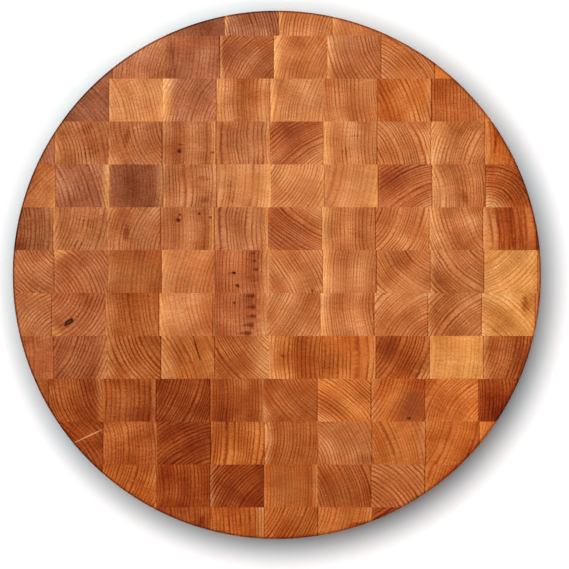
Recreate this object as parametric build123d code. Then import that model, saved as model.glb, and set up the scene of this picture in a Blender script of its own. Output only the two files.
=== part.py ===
from build123d import *
import math
import os

# A round end-grain chopping block. Boards are glued edge to edge into a panel, the panel is
# crosscut into slices, and each slice is turned end grain up to make one strip. The strips are
# slid along from each other, glued face to face, sawn round and bevelled along both rims.
# Millimetres, +Z up. The origin is the middle of the underside, strips run along X.

# Driving dimensions
diameter = 457.2
thickness = 76.2
strip_width = 37.1
block_width = 46.5
middle_strip_offset = 2.8
rim_bevel = 1.5
thinnest_piece = 2.0
saw_overrun = 5.0

# How far the strips are slid to the right: the middle one, then outwards to the back and front
middle_slide_share = -0.145
back_slide_shares = (-0.165, -0.115, -0.135, -0.125, -0.06, 0.03)
front_slide_shares = (-0.19, -0.155, -0.245, -0.23, -0.245, -0.235)

radius = diameter / 2


def half_chord(distance):
    """Half the width of the disc on a line this far from its middle."""
    return math.sqrt(max(radius ** 2 - distance ** 2, 0))


def strips_beyond(offset):
    """How many strips lie beyond the middle one, on the side that it is offset to."""
    reach = radius - thinnest_piece - offset - strip_width / 2
    return max(math.ceil(reach / strip_width), 0)


def strip_layout():
    """Each strip's name, how many strips it lies behind the middle one, and its slide."""
    strips = [("middle_strip", 0, middle_slide_share * block_width)]
    for place in range(strips_beyond(middle_strip_offset)):
        share = back_slide_shares[place % len(back_slide_shares)]
        strips.append((f"back_strip_{place + 1}", place + 1, share * block_width))
    for place in range(strips_beyond(-middle_strip_offset)):
        share = front_slide_shares[place % len(front_slide_shares)]
        strips.append((f"front_strip_{place + 1}", -place - 1, share * block_width))
    return strips


def nearest_line(front, back):
    """How near a strip comes to the middle of the disc."""
    if front < 0 < back:
        return 0
    return min(abs(front), abs(back))


def strip_joints(front, back, slide):
    """Where the blocks of one strip meet, with each joint's count from the middle one. A joint
    that would leave a piece too thin to hold together at the rim isn't there: the block before
    it runs on."""
    near = nearest_line(front, back)
    half_length = half_chord(near)
    first = math.ceil((-half_length - slide) / block_width)
    last = math.floor((half_length - slide) / block_width)
    joints = {}
    for count in range(first, last + 1):
        x = slide + count * block_width
        length_left = half_length - abs(x)
        depth_left = half_chord(x) - near
        if min(length_left, depth_left) >= thinnest_piece:
            joints[count] = x
    return joints


def block_spans(joints):
    """Each block's name in its strip, and its left and right end. Blocks are counted to either
    side of the middle joint, and the outer two run out past the rim."""
    outside = radius + saw_overrun
    counts = sorted(joints)
    spans = [(block_name(counts[0] - 1), -outside, joints[counts[0]])]
    for count in counts[:-1]:
        spans.append((block_name(count), joints[count], joints[count + 1]))
    spans.append((block_name(counts[-1]), joints[counts[-1]], outside))
    return spans


def block_name(joint_on_its_left):
    """A block is named for its place to the left or right of the strip's middle joint."""
    if joint_on_its_left < 0:
        return f"left_block_{-joint_on_its_left}"
    return f"right_block_{joint_on_its_left + 1}"


def block_blank(left, right, front, back):
    """One square-edged block, as sawn from its board."""
    centre = ((left + right) / 2, (front + back) / 2, thickness / 2)
    return Pos(*centre) * Box(right - left, back - front, thickness)


def is_whole(left, right, front, back):
    """Whether a block lies inside the bevelled rim, so that the saw and router miss it."""
    far_corner = math.hypot(max(abs(left), abs(right)), max(abs(front), abs(back)))
    return far_corner <= radius - rim_bevel


def sawn_disc():
    """The outline that the glued-up slab is sawn to, with both rims bevelled."""
    disc = Pos(0, 0, thickness / 2) * Cylinder(radius, thickness)
    rims = disc.edges().filter_by(GeomType.CIRCLE)
    return chamfer(rims, rim_bevel)


def make_strip(name, place, slide, disc):
    """All blocks of one strip: those that the rim cuts are a node each, and the whole ones,
    which are all alike, share a node as separate solids."""
    centre = middle_strip_offset + place * strip_width
    front = centre - strip_width / 2
    back = centre + strip_width / 2
    whole_blocks = []
    rim_count = 0
    for block, left, right in block_spans(strip_joints(front, back, slide)):
        blank = block_blank(left, right, front, back)
        if is_whole(left, right, front, back):
            whole_blocks.append(blank.solid())
        else:
            export_step((blank & disc).solid(), f"parts/{name}_{block}.step")
            rim_count += 1
    if whole_blocks:
        export_step(Compound(children=whole_blocks), f"parts/{name}_whole_blocks.step")
    return rim_count, len(whole_blocks)


os.makedirs("parts", exist_ok=True)
disc = sawn_disc()
rim_total = 0
whole_total = 0
for name, place, slide in strip_layout():
    rims, wholes = make_strip(name, place, slide, disc)
    rim_total += rims
    whole_total += wholes
    print(f"{name}: {rims} blocks cut by the rim, {wholes} whole")
print(f"{rim_total} blocks cut by the rim and {whole_total} whole ones")
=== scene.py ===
import math
from collections import namedtuple
from functools import partial

import bpy
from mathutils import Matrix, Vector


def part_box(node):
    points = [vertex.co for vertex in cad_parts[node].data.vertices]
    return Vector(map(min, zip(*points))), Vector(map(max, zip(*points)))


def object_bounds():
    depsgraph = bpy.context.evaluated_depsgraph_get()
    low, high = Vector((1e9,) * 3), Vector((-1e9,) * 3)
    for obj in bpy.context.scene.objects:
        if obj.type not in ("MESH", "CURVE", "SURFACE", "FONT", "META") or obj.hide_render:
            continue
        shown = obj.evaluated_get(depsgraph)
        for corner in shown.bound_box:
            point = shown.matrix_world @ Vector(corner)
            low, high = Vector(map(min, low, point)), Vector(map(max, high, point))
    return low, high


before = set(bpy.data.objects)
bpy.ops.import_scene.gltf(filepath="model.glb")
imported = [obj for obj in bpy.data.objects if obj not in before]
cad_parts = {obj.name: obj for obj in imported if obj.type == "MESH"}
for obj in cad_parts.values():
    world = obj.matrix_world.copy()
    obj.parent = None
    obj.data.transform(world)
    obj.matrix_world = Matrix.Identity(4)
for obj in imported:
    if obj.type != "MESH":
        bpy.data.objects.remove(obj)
cad_low, cad_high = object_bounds()
mm = 0.001

# The cherry boards. Black cherry, sawn and planed square, so that each board shows its growth
# rings from another side of the log. Cut across and stood on end, their end grain is the face
# of the block: sanded fine, soaked with oil and rubbed to a satin.
block_left, block_right = (corner.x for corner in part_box("back_strip_6_left_block_1"))
strip_front, strip_back = (corner.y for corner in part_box("middle_strip_whole_blocks"))
block_width = block_right - block_left
strip_width = strip_back - strip_front
rim_radius = cad_high.x

# The tones that oiled cherry comes in, from the sapwood to the heart of the log
cherry_tones = {
    "honey": "#DE8D46",
    "pale tan": "#CD7E48",
    "orange": "#D47430",
    "tan": "#C3703C",
    "dull orange": "#BE6935",
    "russet tan": "#B66739",
    "dusty rose": "#B26841",
    "orange tan": "#C06429",
    "rosy russet": "#A75E3B",
    "russet": "#AD5B30",
    "fox": "#B4561D",
    "red brown": "#A75120",
    "brown": "#984417",
    "mahogany": "#89350C",
    "smoky": "#945436",
}
sapwood = "#E99C5A"

# Distances between the fine marks of the grain. Rays and pores are really a tenth of a
# millimetre, and are drawn as coarse as they need to show.
grain_wander = 24 * mm
grain_wobble = 6 * mm
grain_stretch = 0.08
ray_gap = 1.1 * mm
ray_length = 9 * mm
fleck_height = 9 * mm
pore_gap = 1.1 * mm
ragged_gap = 2.4 * mm
cloud_size = 24 * mm
ring_fade_size = 13 * mm

# How the growth rings differ: how many rings good and bad years drift them, how fast that and
# their bands change from ring to ring, how far out of step a ray puts them, and what sets the
# strength of each
good_year_drift = 2.0
good_year_pace = 0.23
band_pace = 0.17
ray_step = 0.3
year_seed = 0.37

# How dark the wood is along one ring, from early wood to late wood, about how dark that is on
# the whole, and how strong the weakest ring is
ring_profile = ((0, 0), (0.5, 0.1), (0.8, 1), (1, 0))
ring_middle = 0.33
weakest_ring = 0.7

# The middle of a noise, two ranges of it with what their ends become, and how ragged it makes
# the edge of a mark
noise_middle = 0.5
ring_fade_range = (0.35, 0.65, 0.45, 1.35)
speckle_range = (0.46, 0.58, 0.2, 1)
mark_ragged = 1.4

# The joints. A dark line of glue lies just left of each joint and a paler lip right of it, both
# full out to their core and gone at their reach. A seam between strips is far fainter.
glue_off_joint = 0.15 * mm
glue_core = 0.16 * mm
glue_reach = 0.64 * mm
lip_off_joint = 1.2 * mm
lip_core = 0.4 * mm
lip_reach = 1.3 * mm
seam_width = 0.8 * mm
seam_strength = 0.5

# Where the tone changes near the rim, in from it: on the bevel, and on the face beside it, both
# painted shade. The side is what faces up or down by less than a half, and a step back or to the
# left counts seven tenths towards the back left.
bevel_starts = 1.8 * mm
bevel_full = 1.05 * mm
painted_rim_shade_starts = 3.4 * mm
painted_rim_shade_full = 1.6 * mm
side_below = 0.5
diagonal_share = 0.7

# How much each of them deepens the wood's colour, where less than nothing makes it paler
ring_share = 0.47
band_share = 0.22
cloud_share = 0.42
ray_share = 0.17
pore_share = 0.4
glue_share = 0.38
lip_share = -0.05
# The rim's painted shade: the bevel darkened into a dark outline on top of the oil it soaks up,
# deepest at the back left, and the band beside it darkened towards the front right
bevel_oil_and_painted_shade_share = 0.2
bevel_painted_shade_back_left_share = 0.15
painted_rim_shade_share = 0.05
painted_rim_shade_back_left_share = -0.06
upright_share = -0.05
shadow_share = 1.3
least_light = 0.05

# How far the colour turns between orange and brown within a block, and what keeps it as light
warmth_share = 0.3
warmth_light_share = 0.8

# The skin of the wood: a broad, faint sheen of dried oil over grain that stands a hair proud
oil_index = 1.47
oiled_roughness = 0.7
oiled_gloss = 0.06
pore_relief_share = 0.5
relief_strength = 0.25
relief_height = 0.08 * mm

# One block's figure. Bearings are degrees from the right of the block, anticlockwise from
# above. The pith, the middle of the log, lies away from the block's own middle by that many
# millimetres, and the rings curve round it a ring gap apart, more or less boldly drawn. A pale
# side has sapwood: its bearing, how many millimetres it reaches in and how pale it is. Wave is
# how much the grain wanders, and shade how light the block is for its tone.
Block = namedtuple(
    "Block", "tone pith gap lines pale wave shade", defaults=((0, 10, 0), 0.6, 1.0)
)

# One mark in the grain: the block it is in, counted from 0 at the left, how far along to the
# right and how deep towards the back it lies as shares of that block, its length and width in
# millimetres, and its lean in degrees
Mark = namedtuple("Mark", "kind block along deep long wide lean", defaults=(0,))

# What each kind of mark does: how much it deepens the wood's own colour, how much its own
# colour covers the wood, that colour, and how soft its edge is
Look = namedtuple("Look", "deepens covers colour softness", defaults=(0, "#000000", 1.2))
mark_looks = {
    "knot": Look(0.35, 0.55, "#481A08", 1.1),
    "heart": Look(0.3, 0.9, "#2A0E06", 0.6),
    "gum": Look(0.2, 0.42, "#87370C", 1.4),
    "pin": Look(0.3, 0.4, "#4C1E0C", 1.2),
    "bark": Look(0.2, 0.97, "#1C0C06", 0.45),
    "bark core": Look(0, 0.6, "#87452A", 0.8),
    "crack": Look(0.25, 0.6, "#3B1C0C", 0.7),
    "streak": Look(0.2, softness=1.0),
    "stain": Look(0.15),
    "smoke": Look(0.14, softness=1.8),
    "dull": Look(0, 0.24, "#996039", 1.8),
    "pale": Look(-0.1, softness=1.6),
    "speckle": Look(0.36),
    "ray": Look(0, 0.65, "#F0B27A", 0.8),
}


def linear(hex_colour):
    """The linear red, green, blue and alpha of an sRGB hex colour."""
    shares = [int(hex_colour[place:place + 2], 16) / 255 for place in (1, 3, 5)]
    lit = [s / 12.92 if s <= 0.04045 else ((s + 0.055) / 1.055) ** 2.4 for s in shares]
    return (*lit, 1.0)


# Where a node that mixes two colours takes them in, and where it gives out the mix
first_colour, second_colour, mixed_colour = 6, 7, 2


def add(tree, kind, *values, named=None, **settings):
    """Adds one node with its settings, fills its sockets in their order or by name, each with
    a number or a link, and returns its outputs."""
    node = tree.nodes.new("ShaderNode" + kind)
    for setting, value in settings.items():
        setattr(node, setting, value)
    for socket, source in [*enumerate(values), *(named or {}).items()]:
        if isinstance(source, bpy.types.NodeSocket):
            tree.links.new(source, node.inputs[socket])
        else:
            node.inputs[socket].default_value = source
    return node.outputs


def reach_to_edge(bearing):
    """How far a block's edge lies from its middle on this bearing."""
    turn = math.radians(bearing)
    return (abs(math.cos(turn)) * block_width + abs(math.sin(turn)) * strip_width) / 2


def read_charts(node, number, blocks):
    """The figure of the block with this number, read from four charts that have a step for
    each block: its tone, its rings, its pale side and its wave."""
    charts = (
        [(*[part * b.shade for part in linear(cherry_tones[b.tone])[:3]], 1) for b in blocks],
        [(b.pith[0] % 360 / 360, b.pith[1] * mm, b.gap * mm, b.lines) for b in blocks],
        [
            (b.pale[0] % 360 / 360, reach_to_edge(b.pale[0]), b.pale[1] * mm, b.pale[2])
            for b in blocks
        ],
        [(b.wave, b.wave, b.wave, 1) for b in blocks],
    )
    count = len(blocks)
    half_step = 0.5 / count
    step = node("Math", number, 1 / count, half_step, operation="MULTIPLY_ADD")[0]
    readings = []
    for values in charts:
        chart = node("ValToRGB", step)
        ramp = chart[0].node.color_ramp
        ramp.interpolation = "CONSTANT"
        while len(ramp.elements) < count:
            ramp.elements.new(1)
        for index, value in enumerate(values):
            ramp.elements[index].position = index / count
            ramp.elements[index].color = value
        readings.append(chart)
    return readings


def turned_to(node, place, bearing):
    """The place in a block, turned until this bearing, in whole turns, points along x."""
    angle = node("Math", bearing, 2 * math.pi, operation="MULTIPLY")[0]
    return node(
        "VectorRotate", place, named={"Angle": angle}, rotation_type="Z_AXIS", invert=True
    )[0]


def growth_rings(node, radius, gap, boldness, rays, number, grain):
    """Each ring has pale early wood, then a thin dark line of late wood, and no two are alike.
    Returns the late wood, the lines as they are drawn, the bands of slow and fast growth, and
    how much the lines deepen the colour about the block's own tone."""
    rings = node("Math", radius, gap, operation="DIVIDE")[0]
    years = node("Math", rings, good_year_pace, number, operation="MULTIPLY_ADD")[0]
    good_years = node(
        "TexNoise", named={"W": years, "Scale": 1, "Detail": 1}, noise_dimensions="1D"
    )[0]
    rings = node("Math", good_years, good_year_drift, rings, operation="MULTIPLY_ADD")[0]
    rings = node("Math", rays, ray_step, rings, operation="MULTIPLY_ADD")[0]
    late_wood = node("ValToRGB", node("Math", rings, operation="FRACT")[0])["Color"]
    profile = late_wood.node.color_ramp
    for position, _ in ring_profile[1:-1]:
        profile.elements.new(position)
    for element, (_, darkness) in zip(profile.elements, ring_profile):
        element.color = (darkness, darkness, darkness, 1)
    seed = node("Math", rings, operation="FLOOR")[0]
    seed = node("Math", number, year_seed, seed, operation="MULTIPLY_ADD")[0]
    chance = node("TexWhiteNoise", named={"W": seed}, noise_dimensions="1D")[0]
    strength = node("MapRange", chance, 0, 1, weakest_ring, 1)[0]
    strength = node("Math", strength, boldness, operation="MULTIPLY")[0]
    fading = node("TexNoise", grain, named={"Scale": 1 / ring_fade_size, "Detail": 1})["Color"]
    fading = node("MapRange", node("SeparateColor", fading)[1], *ring_fade_range)[0]
    strength = node("Math", strength, fading, operation="MULTIPLY")[0]
    lines = node("Math", late_wood, strength, operation="MULTIPLY")[0]
    ages = node("Math", rings, band_pace, number, operation="MULTIPLY_ADD")[0]
    bands = node(
        "TexNoise", named={"W": ages, "Scale": 1, "Detail": 1}, noise_dimensions="1D"
    )[0]
    deeper = node("Math", strength, -ring_middle, lines, operation="MULTIPLY_ADD")[0]
    deeper = node("Math", deeper, ring_share, operation="MULTIPLY")[0]
    return late_wood, lines, bands, deeper


def mark_cover(node, mark, spot, first_joint, middle_y, ragged):
    """Where one knot, streak or stain lies: an oval in the end grain, ragged at its edge, that
    runs down through the block."""
    at = (
        first_joint + (mark.block - 1 + mark.along) * block_width,
        middle_y + (mark.deep - 0.5) * strip_width,
        0,
    )
    lean = (0, 0, math.radians(mark.lean))
    half = (mark.long * mm / 2, mark.wide * mm / 2, 1)
    oval = node("Mapping", spot, at, lean, half, vector_type="TEXTURE")[0]
    off = node("VectorMath", oval, operation="LENGTH")[1]
    off = node("Math", ragged, mark_ragged, off, operation="MULTIPLY_ADD")[0]
    edge = 1 + mark_ragged * noise_middle
    half_soft = mark_looks[mark.kind].softness / 2
    return node(
        "MapRange", off, edge - half_soft, edge + half_soft, 1, 0,
        interpolation_type="SMOOTHSTEP",
    )[0]


def joint_lines(node, deeper, widths, count, off_middle, clouds):
    """The glue between the blocks of a strip, squeezed out more at some joints than at others,
    and the lip of the next block. The strips themselves meet almost without a line."""
    joint = node("Clamp", node("Math", widths, operation="ROUND")[0], 0, count - 2)[0]
    left_of_joint = node("Math", joint, widths, operation="SUBTRACT")[0]
    left_of_joint = node("Math", left_of_joint, block_width, operation="MULTIPLY")[0]
    off_line = node("Math", left_of_joint, glue_off_joint, operation="SUBTRACT")[0]
    off_line = node("Math", off_line, operation="ABSOLUTE")[0]
    glue = node("MapRange", off_line, glue_core, glue_reach, 1, 0)[0]
    squeezed = node("TexWhiteNoise", named={"W": joint}, noise_dimensions="1D")[0]
    glue = node("Math", glue, squeezed, operation="MULTIPLY")[0]
    off_lip = node("Math", left_of_joint, lip_off_joint, operation="ADD")[0]
    off_lip = node("Math", off_lip, operation="ABSOLUTE")[0]
    lip = node("MapRange", off_lip, lip_core, lip_reach, 1, 0)[0]
    deeper = node("Math", lip, lip_share, deeper, operation="MULTIPLY_ADD")[0]
    off_seam = node("Math", strip_width / 2, off_middle, operation="SUBTRACT")[0]
    seam = node("MapRange", off_seam, 0, seam_width, seam_strength, 0)[0]
    cloudy = node("Math", clouds, noise_middle, operation="SUBTRACT")[0]
    seam = node("Math", seam, cloudy, operation="MULTIPLY")[0]
    glue = node("Math", glue, seam, operation="ADD")[0]
    return node("Math", glue, glue_share, deeper, operation="MULTIPLY_ADD")[0]


def rim_tone_and_painted_shade(node, deeper, spot, x, y):
    """Painted shade round the rim. The bevel cuts the grain aslant and soaks up more oil, and it
    is painted darker still into a dark outline, most of all at the back left. The face beside it
    is painted darker towards the front right. The upright side is long grain, which soaks up less."""
    out = node("VectorMath", node("CombineXYZ", x, y)[0], operation="LENGTH")[1]
    facing = node("SeparateXYZ", node("NewGeometry")["Normal"])[2]
    facing = node("Math", facing, operation="ABSOLUTE")[0]
    upright = node("Math", facing, side_below, operation="LESS_THAN")[0]
    bevel = node("MapRange", out, rim_radius - bevel_starts, rim_radius - bevel_full, 0, 1)[0]
    bevel = node("Math", bevel, upright, operation="SUBTRACT", use_clamp=True)[0]
    to_back_left = (-diagonal_share / rim_radius, diagonal_share / rim_radius, 0)
    back_left = node("VectorMath", spot, to_back_left, operation="DOT_PRODUCT")[1]
    # Painted shade: a dark outline on the bevel, deepest at the back left, over the oil it soaks
    # up
    bevel_oil_and_painted_shade = node(
        "Math", back_left, bevel_painted_shade_back_left_share, bevel_oil_and_painted_shade_share, operation="MULTIPLY_ADD"
    )[0]
    deeper = node("Math", bevel, bevel_oil_and_painted_shade, deeper, operation="MULTIPLY_ADD")[0]
    # Painted shade on the band beside the rim, darker towards the front right
    painted_rim_shade = node("MapRange", out, rim_radius - painted_rim_shade_starts, rim_radius - painted_rim_shade_full, 0, 1)[0]
    painted_rim_shade_by = node(
        "Math", back_left, painted_rim_shade_back_left_share, painted_rim_shade_share, operation="MULTIPLY_ADD"
    )[0]
    deeper = node("Math", painted_rim_shade, painted_rim_shade_by, deeper, operation="MULTIPLY_ADD")[0]
    return node("Math", upright, upright_share, deeper, operation="MULTIPLY_ADD")[0]


def oiled_cherry(name, strips_back, first_joint, blocks, marks):
    """The finish of one strip: satin oiled end grain whose figure changes at every block. On
    the round side the same rings stand upright as long grain."""
    wood = bpy.data.materials.new(name)
    wood.use_nodes = True
    node = partial(add, wood.node_tree)
    middle_y = (strip_front + strip_back) / 2 + strips_back * strip_width
    count = len(blocks)

    # Which block of the strip this spot is on, and the spot's place from that block's middle
    spot = node("TexCoord")["Object"]
    x, y, z = node("SeparateXYZ", spot)
    widths = node("Math", x, first_joint, operation="SUBTRACT")[0]
    widths = node("Math", widths, block_width, operation="DIVIDE")[0]
    number = node("Clamp", node("Math", widths, operation="CEIL")[0], 0, count - 1)[0]
    middle_x = node(
        "Math", number, block_width, first_joint - block_width / 2, operation="MULTIPLY_ADD"
    )[0]
    middle = node("CombineXYZ", middle_x, middle_y)[0]
    place = node("VectorMath", spot, middle, operation="SUBTRACT")[0]
    tone, rings, pale, wave = read_charts(node, number, blocks)
    bearing, away, gap = node("SeparateColor", rings["Color"])
    pale_bearing, pale_edge, pale_reach = node("SeparateColor", pale["Color"])

    # Every block is from another part of a board, so its grain wanders in its own way. Along
    # the board, which is upright here, the grain is drawn out.
    board = node("CombineXYZ", float(strips_back), 0, number)[0]
    grain = node(
        "VectorMath", place, (1, 1, grain_stretch), board, operation="MULTIPLY_ADD"
    )[0]
    wander = node("TexNoise", grain, named={"Scale": 1 / grain_wander, "Detail": 3})["Color"]
    wander = node("VectorMath", wander, (noise_middle,) * 3, operation="SUBTRACT")[0]
    wobble = node("Math", wave["Color"], grain_wobble, operation="MULTIPLY")[0]
    wander = node("VectorMath", wander, named={"Scale": wobble}, operation="SCALE")[0]
    bent = node("VectorMath", place, wander, operation="ADD")[0]

    # Where the spot lies round the pith
    inward, across, _ = node("SeparateXYZ", turned_to(node, bent, bearing))
    outward = node("Math", away, inward, operation="SUBTRACT")[0]
    radius = node("VectorMath", node("CombineXYZ", outward, across)[0], operation="LENGTH")[1]

    # Rays run outward as fine threads, pores and slow clouds break the tone up, and the colour
    # itself turns slowly warmer and duller
    arc = node("Math", across, outward, operation="ARCTAN2")[0]
    arc = node("Math", arc, away, operation="MULTIPLY")[0]
    thread = node("CombineXYZ", arc, radius, z)[0]
    thread_scale = (1 / ray_gap, 1 / ray_length, 1 / fleck_height)
    thread = node("VectorMath", thread, thread_scale, board, operation="MULTIPLY_ADD")[0]
    rays = node("TexNoise", thread, named={"Scale": 1, "Detail": 1})[0]
    pores = node("TexNoise", grain, named={"Scale": 1 / pore_gap, "Detail": 1})[0]
    cloudy = node("TexNoise", grain, named={"Scale": 1 / cloud_size, "Detail": 1})
    clouds = cloudy[0]
    warmth = node("SeparateColor", cloudy["Color"])[1]

    # What deepens the colour of the wood: first the rings, about the block's own tone, and then
    # the finer grain
    late_wood, lines, bands, deeper = growth_rings(
        node, radius, gap, rings["Alpha"], rays, number, grain
    )
    textures = ((bands, band_share), (clouds, cloud_share), (rays, ray_share), (pores, pore_share))
    for texture, share in textures:
        about = node("Math", texture, noise_middle, operation="SUBTRACT")[0]
        deeper = node("Math", about, share, deeper, operation="MULTIPLY_ADD")[0]

    # The marks. Speckles show only where rays cross the late wood.
    ragged = node("TexNoise", grain, named={"Scale": 1 / ragged_gap, "Detail": 2})[0]
    covers = []
    for mark in marks:
        look = mark_looks[mark.kind]
        cover = mark_cover(node, mark, spot, first_joint, middle_y, ragged)
        if mark.kind == "speckle":
            dots = node("MapRange", rays, *speckle_range)[0]
            dots = node("Math", dots, late_wood, operation="MULTIPLY")[0]
            cover = node("Math", cover, dots, operation="MULTIPLY")[0]
        deeper = node("Math", cover, look.deepens, deeper, operation="MULTIPLY_ADD")[0]
        if look.covers:
            cover = node("Math", cover, look.covers, operation="MULTIPLY")[0]
            covers.append((cover, look.colour))

    # The joints, and the painted shade round the rim
    off_middle = node("Math", y, middle_y, operation="SUBTRACT")[0]
    off_middle = node("Math", off_middle, operation="ABSOLUTE")[0]
    deeper = joint_lines(node, deeper, widths, count, off_middle, clouds)
    deeper = rim_tone_and_painted_shade(node, deeper, spot, x, y)

    # Sapwood along the pale side. Dark grain then turns richer, by a power, as well as darker,
    # as oil makes it. Where the wood is warmer it turns richer and stays as light.
    towards_pale = node("SeparateXYZ", turned_to(node, bent, pale_bearing))[0]
    from_edge = node("Math", pale_edge, towards_pale, operation="SUBTRACT")[0]
    sap = node(
        "MapRange", from_edge, 0, pale_reach, pale["Alpha"], 0, interpolation_type="SMOOTHSTEP"
    )[0]
    two_woods = {first_colour: tone["Color"], second_colour: linear(sapwood)}
    colour = node("Mix", sap, named=two_woods, data_type="RGBA")[mixed_colour]
    warmer = node("Math", warmth, noise_middle, operation="SUBTRACT")[0]
    warmer = node("Math", warmer, warmth_share, operation="MULTIPLY")[0]
    power = node("Math", deeper, warmer, operation="ADD")[0]
    colour = node("Gamma", colour, node("Math", power, 1, operation="ADD")[0])[0]
    light = node("Math", deeper, -shadow_share, 1, operation="MULTIPLY_ADD")[0]
    light = node("Math", warmer, warmth_light_share, light, operation="MULTIPLY_ADD")[0]
    light = node("Math", light, least_light, operation="MAXIMUM")[0]
    colour = node("VectorMath", colour, named={"Scale": light}, operation="SCALE")[0]
    for cover, tint in covers:
        covered = {first_colour: colour, second_colour: linear(tint)}
        colour = node("Mix", cover, named=covered, data_type="RGBA")[mixed_colour]

    # Sanding leaves the late wood and the lips of the pores a hair proud
    height = node("Math", pores, pore_relief_share, lines, operation="MULTIPLY_ADD")[0]
    relief = node(
        "Bump",
        named={"Height": height, "Strength": relief_strength, "Distance": relief_height},
    )[0]
    surface = wood.node_tree.nodes["Principled BSDF"]
    wood.node_tree.links.new(colour, surface.inputs["Base Color"])
    wood.node_tree.links.new(relief, surface.inputs["Normal"])
    surface.inputs["Roughness"].default_value = oiled_roughness
    surface.inputs["IOR"].default_value = oil_index
    surface.inputs["Specular IOR Level"].default_value = oiled_gloss
    return wood


def lay_strip(strip, strips_back, blocks, marks=()):
    """Gives all blocks of a strip their finish. Blocks are listed from left to right."""
    pieces = {name: piece for name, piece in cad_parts.items() if name.startswith(strip)}
    leftmost = min(pieces, key=lambda name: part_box(name)[0].x)
    first_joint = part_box(leftmost)[1].x
    wood = oiled_cherry(f"oiled_cherry_{strip}", strips_back, first_joint, blocks, marks)
    for piece in pieces.values():
        piece.data.materials.clear()
        piece.data.materials.append(wood)


# The middle strip, the longest, runs just behind the middle of the disc: eleven blocks of end
# grain, glued edge to edge, nine of them whole. One has two dark knots, and a row of gum that
# the tree left beside its pale sapwood.

# The parts of one flame of gum: the kind of mark, how far right it lies as a share of the
# block, and its length and width in millimetres
flame_parts = (("streak", -0.03, 8.0, 2.0), ("gum", 0, 3.2, 3.0), ("pale", 0.08, 3.4, 3.2))


def flames(block, spots):
    """A row of gum. Each flame, given as how far along and how deep it lies and its size, has
    a dark core, a tail to the left of it and a pale spot to the right."""
    return [
        Mark(kind, block, along + shift * size, deep, long * size, wide * size)
        for along, deep, size in spots
        for kind, shift, long, wide in flame_parts
    ]


middle_strip = [
    Block("russet tan", (40, 60), 2.9, 0.8, shade=0.93),
    Block("russet", (217, 56), 3.2, 0.75, (135, 14, 0.6), shade=0.97),
    Block("red brown", (352, 150), 3.4, 0.5, (180, 12, 0.3), shade=0.92),
    Block("tan", (345, 110), 3.4, 0.45, (180, 14, 0.6)),
    Block("russet", (0, 170), 2.9, 0.65, (0, 10, 0.5), shade=1.01),
    Block("tan", (210, 150), 2.6, 0.8, shade=0.97),
    Block("tan", (355, 120), 2.3, 0.65, (180, 11, 0.8)),
    Block("dull orange", (45, 60), 2.7, 0.7, (270, 18, 0.25)),
    Block("dull orange", (45, 75), 2.9, 0.85, (180, 8, 0.4), shade=0.85),
    Block("honey", (130, 80), 2.9, 0.55, (180, 20, 0.2), shade=0.86),
    Block("tan", (0, 100), 2.9, 0.4),
]
lay_strip(
    "middle_strip", 0, middle_strip,
    [
        Mark("dull", 2, 0.45, 0.5, 54.0, 44.0),
        Mark("heart", 4, 0.355, 0.47, 3.4, 2.2, 5),
        Mark("streak", 4, 0.3, 0.47, 6.0, 2.0, 8),
        Mark("knot", 4, 0.41, 0.17, 3.2, 2.6, -20),
        Mark("speckle", 4, 0.74, 0.26, 6.0, 8.0),
        *flames(4, [(0.71, 0.93, 0.6), (0.74, 0.75, 0.7), (0.77, 0.55, 0.8)]),
        Mark("gum", 5, 0.81, 0.05, 3.0, 2.6, 60),
        Mark("pale", 5, 0.92, 0.12, 6.0, 5.0),
        Mark("stain", 7, 0.43, 0.84, 24.0, 16.0),
    ],
)

# The first strip behind it. Its slice was cut next to that of the third strip and turned over
# before it was glued, so the same boards show there the other way up.


def turned_over(blocks):
    """The figure of a slice that is turned over front to back: the next cut of the same panel."""
    return [
        b._replace(pith=(-b.pith[0], b.pith[1]), pale=(-b.pale[0], *b.pale[1:])) for b in blocks
    ]


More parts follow.
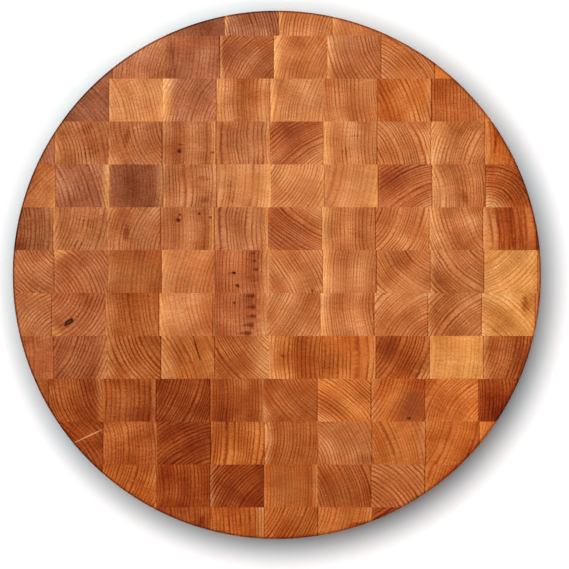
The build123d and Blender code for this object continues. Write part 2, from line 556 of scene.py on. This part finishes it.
third_slice = [
    Block("russet tan", (195, 80), 3.2, 0.6, (180, 8, 0.4), shade=0.86),
    Block("russet tan", (20, 66), 3.0, 0.65, (225, 12, 0.5), shade=0.93),
    Block("russet tan", (180, 170), 2.6, 0.5, (0, 7, 0.6), shade=0.94),
    Block("russet tan", (0, 130), 3.4, 0.8, (0, 6, 0.7), 1.0, 0.94),
    Block("russet", (305, 110), 2.6, 0.8, (330, 20, 0.5), shade=1.11),
    Block("tan", (0, 130), 2.7, 0.6, (180, 14, 0.8), shade=0.97),
    Block("dull orange", (205, 70), 2.7, 0.85, (0, 6, 0.4), shade=0.98),
    Block("dull orange", (338, 80), 2.6, 0.75, (180, 13, 0.5), shade=0.92),
]
lay_strip(
    "back_strip_1", 1,
    [Block("russet", (180, 90), 3.2, 0.6, (0, 12, 0.2), shade=0.62)]
    + turned_over(third_slice)
    + [
        Block("red brown", (185, 160), 6.2, 0.7, (180, 16, 0.4), shade=1.13),
        Block("mahogany", (0, 100), 2.9, 0.4),
    ],
    [
        Mark("speckle", 1, 0.63, 0.65, 18.0, 8.0, -25),
        Mark("speckle", 1, 0.52, 0.14, 11.0, 7.0),
        Mark("streak", 2, 0.36, 0.42, 12.0, 4.5, 80),
        Mark("knot", 3, 0.33, 0.7, 3.8, 3.2),
        Mark("knot", 3, 0.36, 0.83, 1.8, 1.6),
        Mark("pin", 3, 0.93, 0.76, 2.2, 2.0),
        Mark("pin", 3, 0.72, 0.85, 2.0, 2.0),
        Mark("smoke", 5, 0.36, 0.45, 30.0, 28.0, -40),
        Mark("speckle", 6, 0.38, 0.56, 10.0, 5.0),
        Mark("speckle", 6, 0.6, 0.4, 18.0, 7.0, -35),
        Mark("speckle", 6, 0.92, 0.7, 8.0, 4.0, 90),
        Mark("streak", 9, 0.31, 0.5, 44.0, 2.0, 97),
        Mark("streak", 9, 0.53, 0.5, 44.0, 2.0, 95),
        Mark("streak", 9, 0.72, 0.5, 44.0, 2.0, 93),
    ],
)

# The second strip behind the middle. One block is smoky brown, from beside a dead branch, and
# the one at the right-hand rim has the pith of the log near its corner.
lay_strip(
    "back_strip_2", 2,
    [
        Block("tan", (320, 140), 3.2, 0.35, (350, 10, 0.5), shade=0.93),
        Block("rosy russet", (200, 180), 3.8, 0.6, (0, 9, 0.7)),
        Block("rosy russet", (180, 80), 2.9, 0.3, (0, 8, 0.3), shade=0.87),
        Block("russet tan", (180, 170), 3.5, 0.7, (180, 2, 0.6), shade=0.94),
        Block("pale tan", (175, 150), 3.6, 0.55, (0, 14, 0.6), shade=0.96),
        Block("pale tan", (150, 62), 2.7, 0.85, (0, 8, 0.5), shade=1.03),
        Block("pale tan", (165, 140), 3.6, 0.35, (0, 18, 0.8)),
        Block("russet", (300, 90), 2.7, 0.8, (315, 14, 0.5), shade=1.12),
        Block("dull orange", (188, 80), 2.5, 0.65, (180, 6, 0.4), shade=0.9),
        Block("red brown", (229, 30), 2.6, 0.9, (240, 18, 0.7), shade=1.06),
    ],
    [
        Mark("smoke", 2, 0.46, 0.5, 32.0, 90.0),
        Mark("stain", 3, 0.76, 0.67, 11.0, 4.0),
        Mark("stain", 3, 0.76, 0.17, 9.0, 4.0),
        Mark("speckle", 4, 0.25, 0.32, 22.0, 6.0, 90),
        Mark("smoke", 0, 0.5, 0.5, 14.0, 44.0),
        Mark("smoke", 7, 0.43, 0.62, 30.0, 26.0),
        Mark("stain", 8, 0.62, 0.2, 12.0, 4.5, 110),
        Mark("smoke", 9, 0.62, 0.6, 22.0, 48.0, 25),
    ],
)

# The third strip behind the middle: the same boards as the first, the other way up. A knot and
# a pin knot in it come back in the first strip, as they run down through the board.
lay_strip(
    "back_strip_3", 3,
    [Block("rosy russet", (200, 120), 2.9, 0.5, shade=1.08)]
    + third_slice
    + [Block("fox", (180, 160), 3.5, 0.5, (180, 8, 0.4), shade=1.05)],
    [
        Mark("speckle", 1, 0.57, 0.81, 14.0, 7.0, 10),
        Mark("speckle", 1, 0.63, 0.28, 20.0, 8.0, 20),
        Mark("streak", 2, 0.34, 0.62, 14.0, 5.0, 80),
        Mark("knot", 3, 0.32, 0.32, 3.6, 3.0),
        Mark("streak", 3, 0.33, 0.46, 5.0, 1.6),
        Mark("pin", 3, 0.94, 0.28, 2.2, 2.0),
        Mark("smoke", 5, 0.33, 0.62, 30.0, 28.0, 40),
        Mark("speckle", 6, 0.43, 0.3, 16.0, 8.0, 90),
        Mark("speckle", 6, 0.66, 0.66, 11.0, 5.0),
        Mark("streak", 9, 0.2, 0.5, 24.0, 3.0, 80),
        Mark("smoke", 9, 0.42, 0.35, 14.0, 34.0, 30),
    ],
)

# The fourth strip behind the middle, mostly pale boards from near the bark, with one block of
# dark heartwood at its left-hand end.
lay_strip(
    "back_strip_4", 4,
    [
        Block("smoky", (225, 170), 3.4, 0.4, shade=1.08),
        Block("pale tan", (197, 100), 2.9, 0.55, (0, 6, 0.4), shade=1.03),
        Block("dusty rose", (335, 80), 2.9, 0.65, (180, 13, 0.9)),
        Block("tan", (0, 170), 2.8, 0.55, (180, 8, 0.4), shade=0.98),
        Block("pale tan", (345, 110), 2.9, 0.65, (180, 9, 0.9), shade=0.96),
        Block("dull orange", (5, 140), 2.8, 0.7, shade=0.95),
        Block("orange tan", (200, 160), 3.3, 0.8, (0, 10, 0.3)),
        Block("red brown", (0, 170), 2.7, 0.65, (0, 30, 0.15), shade=1.08),
        Block("orange", (0, 120), 2.9, 0.4),
    ],
    [
        Mark("smoke", 3, 0.55, 0.5, 60.0, 16.0, 90),
    ],
)

# The fifth strip behind the middle: rosy boards at the left and orange ones at the right, eight
# blocks of end grain glued edge to edge.
lay_strip(
    "back_strip_5", 5,
    [
        Block("rosy russet", (210, 100), 2.9, 0.4, shade=0.9),
        Block("dusty rose", (345, 70), 2.7, 0.6, shade=1.06),
        Block("rosy russet", (175, 130), 3.4, 0.4, shade=1.06),
        Block("russet", (320, 75), 2.4, 0.75, (180, 4, 0.5), shade=0.86),
        Block("tan", (338, 95), 2.8, 0.65, (180, 8, 0.8)),
        Block("russet tan", (22, 75), 3.0, 0.8, (180, 8, 0.5)),
        Block("dull orange", (225, 75), 2.8, 0.8),
        Block("orange", (210, 100), 2.9, 0.3),
    ],
    [
        Mark("stain", 2, 0.12, 0.5, 46.0, 1.0, 98),
        Mark("smoke", 4, 0.5, 0.85, 24.0, 12.0),
    ],
)

# The last strip at the back. The rim cuts all its blocks, and one at the left is dark
# heartwood, smoky brown.
lay_strip(
    "back_strip_6", 6,
    [
        Block("russet", (200, 100), 2.9, 0.4),
        Block("smoky", (200, 90), 2.9, 0.3, (180, 22, 0.12), shade=1.12),
        Block("rosy russet", (200, 70), 2.7, 0.9, (180, 5, 0.6), shade=0.93),
        Block("tan", (340, 90), 2.8, 0.75, (180, 6, 0.6)),
        Block("tan", (205, 90), 2.9, 0.4, (180, 9, 0.5), shade=1.03),
    ],
    [
        Mark("smoke", 1, 0.75, 0.1, 24.0, 18.0),
    ],
)

# The first strip in front of the middle: the next slice of the same boards, turned over. The
# gum spots grow into flames here, and a pocket of bark shows at the left.
lay_strip(
    "front_strip_1", -1,
    turned_over(middle_strip),
    [
        Mark("bark", 1, 0.31, 0.32, 9.0, 4.4, 38),
        Mark("bark core", 1, 0.32, 0.32, 4.4, 1.4, 38),
        Mark("knot", 4, 0.4, 0.77, 2.2, 2.0),
        *flames(4, [(0.74, 0.93, 1.1), (0.75, 0.67, 1.1), (0.75, 0.46, 1.2)]),
        *flames(4, [(0.71, 0.25, 1.5), (0.65, 0.06, 1.5)]),
        Mark("pale", 3, 0.3, 0.5, 28.0, 24.0),
        Mark("pale", 6, 0.55, 0.5, 26.0, 26.0),
        Mark("stain", 9, 0.8, 0.76, 4.0, 12.0),
        Mark("stain", 9, 0.81, 0.7, 8.0, 16.0),
    ],
)

# The second strip in front of the middle. A thin black crack of gum runs down one block, and
# a pale one of sapwood stands beside a dark red one.
lay_strip(
    "front_strip_2", -2,
    [
        Block("russet", (180, 150), 2.9, 0.4, shade=0.98),
        Block("russet", (155, 100), 3.0, 0.8, (0, 12, 0.3), shade=0.82),
        Block("red brown", (30, 68), 3.8, 0.85, (180, 10, 0.3), shade=0.9),
        Block("orange tan", (205, 130), 3.2, 0.65, (180, 18, 0.5), shade=0.82),
        Block("red brown", (40, 100), 2.6, 0.9, (0, 22, 0.55), shade=0.95),
        Block("orange tan", (0, 160), 3.1, 0.85, (180, 13, 0.4), shade=0.96),
        Block("orange tan", (180, 150), 4.6, 0.75, (0, 12, 0.3), shade=1.08),
        Block("red brown", (155, 80), 3.2, 0.9, (330, 16, 0.3), shade=1.06),
        Block("honey", (175, 160), 3.4, 0.3, (180, 28, 0.6), shade=1.0),
        Block("red brown", (165, 120), 2.7, 0.9, (180, 8, 0.45)),
    ],
    [
        Mark("crack", 3, 0.66, 0.72, 26.0, 1.4, 107),
        Mark("gum", 5, 0.27, 0.53, 3.6, 2.6),
        Mark("smoke", 5, 0.68, 0.6, 34.0, 56.0),
        Mark("pale", 5, 0.42, 0.05, 24.0, 8.0),
        Mark("smoke", 6, 0.2, 0.45, 12.0, 40.0),
        Mark("smoke", 7, 0.42, 0.6, 44.0, 40.0, -10),
        Mark("smoke", 9, 0.75, 0.5, 22.0, 44.0),
    ],
)

# The third strip in front of the middle: boards of dark heartwood at the left and at the rim
# on the right, with lighter orange ones between.
lay_strip(
    "front_strip_3", -3,
    [
        Block("red brown", (200, 120), 2.9, 0.5, shade=0.93),
        Block("brown", (20, 62), 2.9, 0.75, (0, 7, 0.25), shade=0.97),
        Block("brown", (180, 170), 4.2, 0.6, (0, 5, 0.15), shade=0.95),
        Block("mahogany", (157, 110), 2.5, 1.0, shade=0.86),
        Block("brown", (180, 170), 2.4, 0.65, (0, 6, 0.25), shade=1.02),
        Block("red brown", (40, 80), 2.9, 0.6, (200, 10, 0.4)),
        Block("orange tan", (230, 120), 2.5, 0.95, (240, 12, 0.5), shade=1.05),
        Block("fox", (155, 120), 2.7, 0.6, (180, 10, 0.3), shade=1.06),
        Block("orange tan", (325, 55), 2.8, 0.75, shade=1.09),
        Block("mahogany", (180, 120), 2.9, 0.8, shade=1.16),
    ],
    [
        Mark("smoke", 1, 0.71, 0.8, 10.0, 18.0),
        Mark("dull", 7, 0.72, 0.3, 32.0, 30.0),
        Mark("smoke", 7, 0.9, 0.45, 24.0, 44.0),
        Mark("knot", 7, 0.71, 0.08, 3.2, 2.2),
        Mark("smoke", 9, 0.6, 0.5, 24.0, 48.0, -30),
    ],
)

# The fourth strip in front of the middle. A pale ray shows as a line in its first block, and
# its third block is among the darkest of all.
lay_strip(
    "front_strip_4", -4,
    [
        Block("mahogany", (220, 90), 3.2, 0.7, shade=0.92),
        Block("red brown", (185, 90), 2.9, 0.65, (0, 6, 0.2), shade=1.03),
        Block("mahogany", (298, 90), 3.2, 0.8, shade=0.97),
        Block("fox", (175, 170), 3.4, 0.8, shade=0.91),
        Block("red brown", (175, 70), 2.8, 0.65, (180, 9, 0.4)),
        Block("dull orange", (205, 65), 2.8, 0.85, shade=0.95),
        Block("orange tan", (200, 110), 3.0, 0.55, (0, 10, 0.35), shade=0.93),
        Block("fox", (160, 110), 3.4, 0.45, shade=1.03),
        Block("orange", (160, 110), 2.9, 0.5),
    ],
    [
        Mark("ray", 0, 0.75, 0.68, 26.0, 1.1, 25),
        Mark("smoke", 5, 0.88, 0.08, 16.0, 9.0),
    ],
)

# The fifth strip in front of the middle, glued up like the others, with its darkest block
# beside a plain light one.
lay_strip(
    "front_strip_5", -5,
    [
        Block("brown", (200, 100), 2.9, 0.4),
        Block("fox", (155, 90), 3.0, 0.75, (0, 6, 0.2), shade=0.88),
        Block("mahogany", (180, 90), 2.9, 0.75, shade=1.13),
        Block("mahogany", (320, 70), 2.7, 1.0, (180, 6, 0.15), shade=0.98),
        Block("fox", (180, 180), 2.6, 0.55, (0, 7, 0.3), shade=0.95),
        Block("red brown", (200, 90), 2.9, 0.85, shade=0.95),
        Block("dull orange", (225, 65), 3.4, 0.9, shade=0.95),
        Block("fox", (160, 120), 3.2, 0.4, shade=1.0),
    ],
    [
        Mark("dull", 4, 0.45, 0.5, 30.0, 44.0),
        Mark("smoke", 5, 0.8, 0.3, 24.0, 30.0),
    ],
)

# The last strip at the front, glued on like the others before the disc was sawn round, so the
# rim cuts all its blocks.
lay_strip(
    "front_strip_6", -6,
    [
        Block("red brown", (180, 120), 2.9, 0.4),
        Block("brown", (180, 150), 3.2, 0.65, shade=1.06),
        Block("fox", (180, 150), 3.6, 0.75, (0, 9, 0.5), shade=0.92),
        Block("fox", (150, 110), 2.8, 1.0, shade=0.84),
        Block("orange tan", (160, 110), 3.2, 0.6, (0, 9, 0.3), shade=0.93),
        Block("brown", (300, 110), 3.2, 0.95, shade=1.1),
    ],
    [
        Mark("streak", 1, 0.83, 0.7, 8.0, 4.0, 80),
        Mark("streak", 4, 0.76, 0.62, 16.0, 3.0, 6),
    ],
)

# The floor, a sheet of matt white paper that the block rests on, which keeps the block's soft
# shadow. Away from the block the camera and glossy surfaces see it lifted to full white, and the
# lift grows only with distance from the rim, which leaves painted shade round the block's foot. At
# the foot the paper is painted a shade darker and cooler: painted shade that deepens the shadow
# and evens out the red that the wood throws.
half_floor = 6.0
floor_z = 0.0
floor_corners = ((-1, -1), (1, -1), (1, 1), (-1, 1))
paper_white = "#FCFCFC"
# Painted shade: the paper at the block's foot, darker and cooler than the rest
paper_at_painted_foot_shade = "#EBF9FC"
glow_white = "#FFFFFF"
painted_foot_shade_width = 26 * mm
glow_starts = 11 * mm
glow_full = 180 * mm


def seen_directly(node):
    """1 for the rays of the camera and of glossy and clear surfaces, which see a background as
    it looks, and 0 for the rays that only light the block."""
    path = node("LightPath")
    seen = node("Math", path["Is Camera Ray"], path["Is Glossy Ray"], operation="ADD")[0]
    return node("Math", seen, path["Is Transmission Ray"], operation="ADD")[0]


floor_mesh = bpy.data.meshes.new("white_floor")
floor_mesh.from_pydata(
    [(side * half_floor, end * half_floor, floor_z) for side, end in floor_corners],
    [],
    [(0, 1, 2, 3)],
)
white_floor = bpy.data.objects.new("white_floor", floor_mesh)
bpy.context.scene.collection.objects.link(white_floor)
paper = bpy.data.materials.new("matt_white_paper")
paper.use_nodes = True
paper_tree = paper.node_tree
paper_tree.nodes.remove(paper_tree.nodes["Principled BSDF"])
node = partial(add, paper_tree)
from_middle = node("VectorMath", node("TexCoord")["Object"], operation="LENGTH")[1]
off_rim = node("Math", from_middle, rim_radius, operation="SUBTRACT")[0]
# Painted shade at the block's foot, fading out over its width
painted_foot_shade = node("MapRange", off_rim, 0, painted_foot_shade_width, 0, 1)[0]
papers = {first_colour: linear(paper_at_painted_foot_shade), second_colour: linear(paper_white)}
white = node("Mix", painted_foot_shade, named=papers, data_type="RGBA")[mixed_colour]
# The lift to white starts only away from the rim, which leaves painted shade round the foot
lift = node("MapRange", off_rim, glow_starts, glow_full, 0, 1)[0]
lift = node("Math", lift, seen_directly(node), operation="MULTIPLY")[0]
matt = node("BsdfDiffuse", white)[0]
glow = node("Emission", linear(glow_white), lift)[0]
both = node("AddShader", matt, glow)[0]
paper_tree.links.new(both, paper_tree.nodes["Material Output"].inputs["Surface"])
floor_mesh.materials.append(paper)

# Studio light: one big soft box high up at the back left, which throws the shadow to the front
# right. The room all round gives a very faint cool light, and looks pure white.
lamp_height = 5.0
lamp_lean = math.radians(8.0)
lamp_bearing = math.radians(126)
lamp_size = 2.7
lamp_power = 256.0
room_strength = 0.05
room_light = "#E2F2FF"
room_white = "#FFFFFF"
lamp_data = bpy.data.lights.new("soft_box", "AREA")
lamp_data.shape = "DISK"
lamp_data.size = lamp_size
lamp_data.energy = lamp_power
soft_box = bpy.data.objects.new("soft_box", lamp_data)
bpy.context.scene.collection.objects.link(soft_box)
lamp_reach = lamp_height * math.tan(lamp_lean)
soft_box.location = (
    lamp_reach * math.cos(lamp_bearing), lamp_reach * math.sin(lamp_bearing), lamp_height,
)
soft_box.rotation_euler = (-soft_box.location).to_track_quat("-Z", "Y").to_euler()
room = bpy.data.worlds.new("white_room")
room.use_nodes = True
bpy.context.scene.world = room
walls = room.node_tree.nodes["Background"]
node = partial(add, room.node_tree)
seen = seen_directly(node)
strength = node("MapRange", seen, 0, 1, room_strength, 1)[0]
room_colours = {first_colour: linear(room_light), second_colour: linear(room_white)}
wall_colour = node("Mix", seen, named=room_colours, data_type="RGBA")[mixed_colour]
room.node_tree.links.new(wall_colour, walls.inputs["Color"])
room.node_tree.links.new(strength, walls.inputs["Strength"])

# The camera looks straight down on the work face through a long lens, from above the middle of
# the picture, which lies a little right of and in front of the middle of the disc.
picture_side = 569
disc_middle_px = (276.86, 274.8)
disc_radius_px = 264.2
metre_per_px = rim_radius / disc_radius_px
middle_px = picture_side / 2
lens = 600.0
sensor = 36.0
farthest_seen = 100.0
view_width = picture_side * metre_per_px
camera_data = bpy.data.cameras.new("overhead")
camera_data.lens = lens
camera_data.sensor_width = sensor
camera_data.clip_end = farthest_seen
overhead = bpy.data.objects.new("overhead", camera_data)
bpy.context.scene.collection.objects.link(overhead)
overhead.location = (
    (middle_px - disc_middle_px[0]) * metre_per_px,
    (disc_middle_px[1] - middle_px) * metre_per_px,
    cad_high.z + view_width * lens / sensor,
)
bpy.context.scene.camera = overhead
bpy.context.scene.view_settings.view_transform = "Standard"
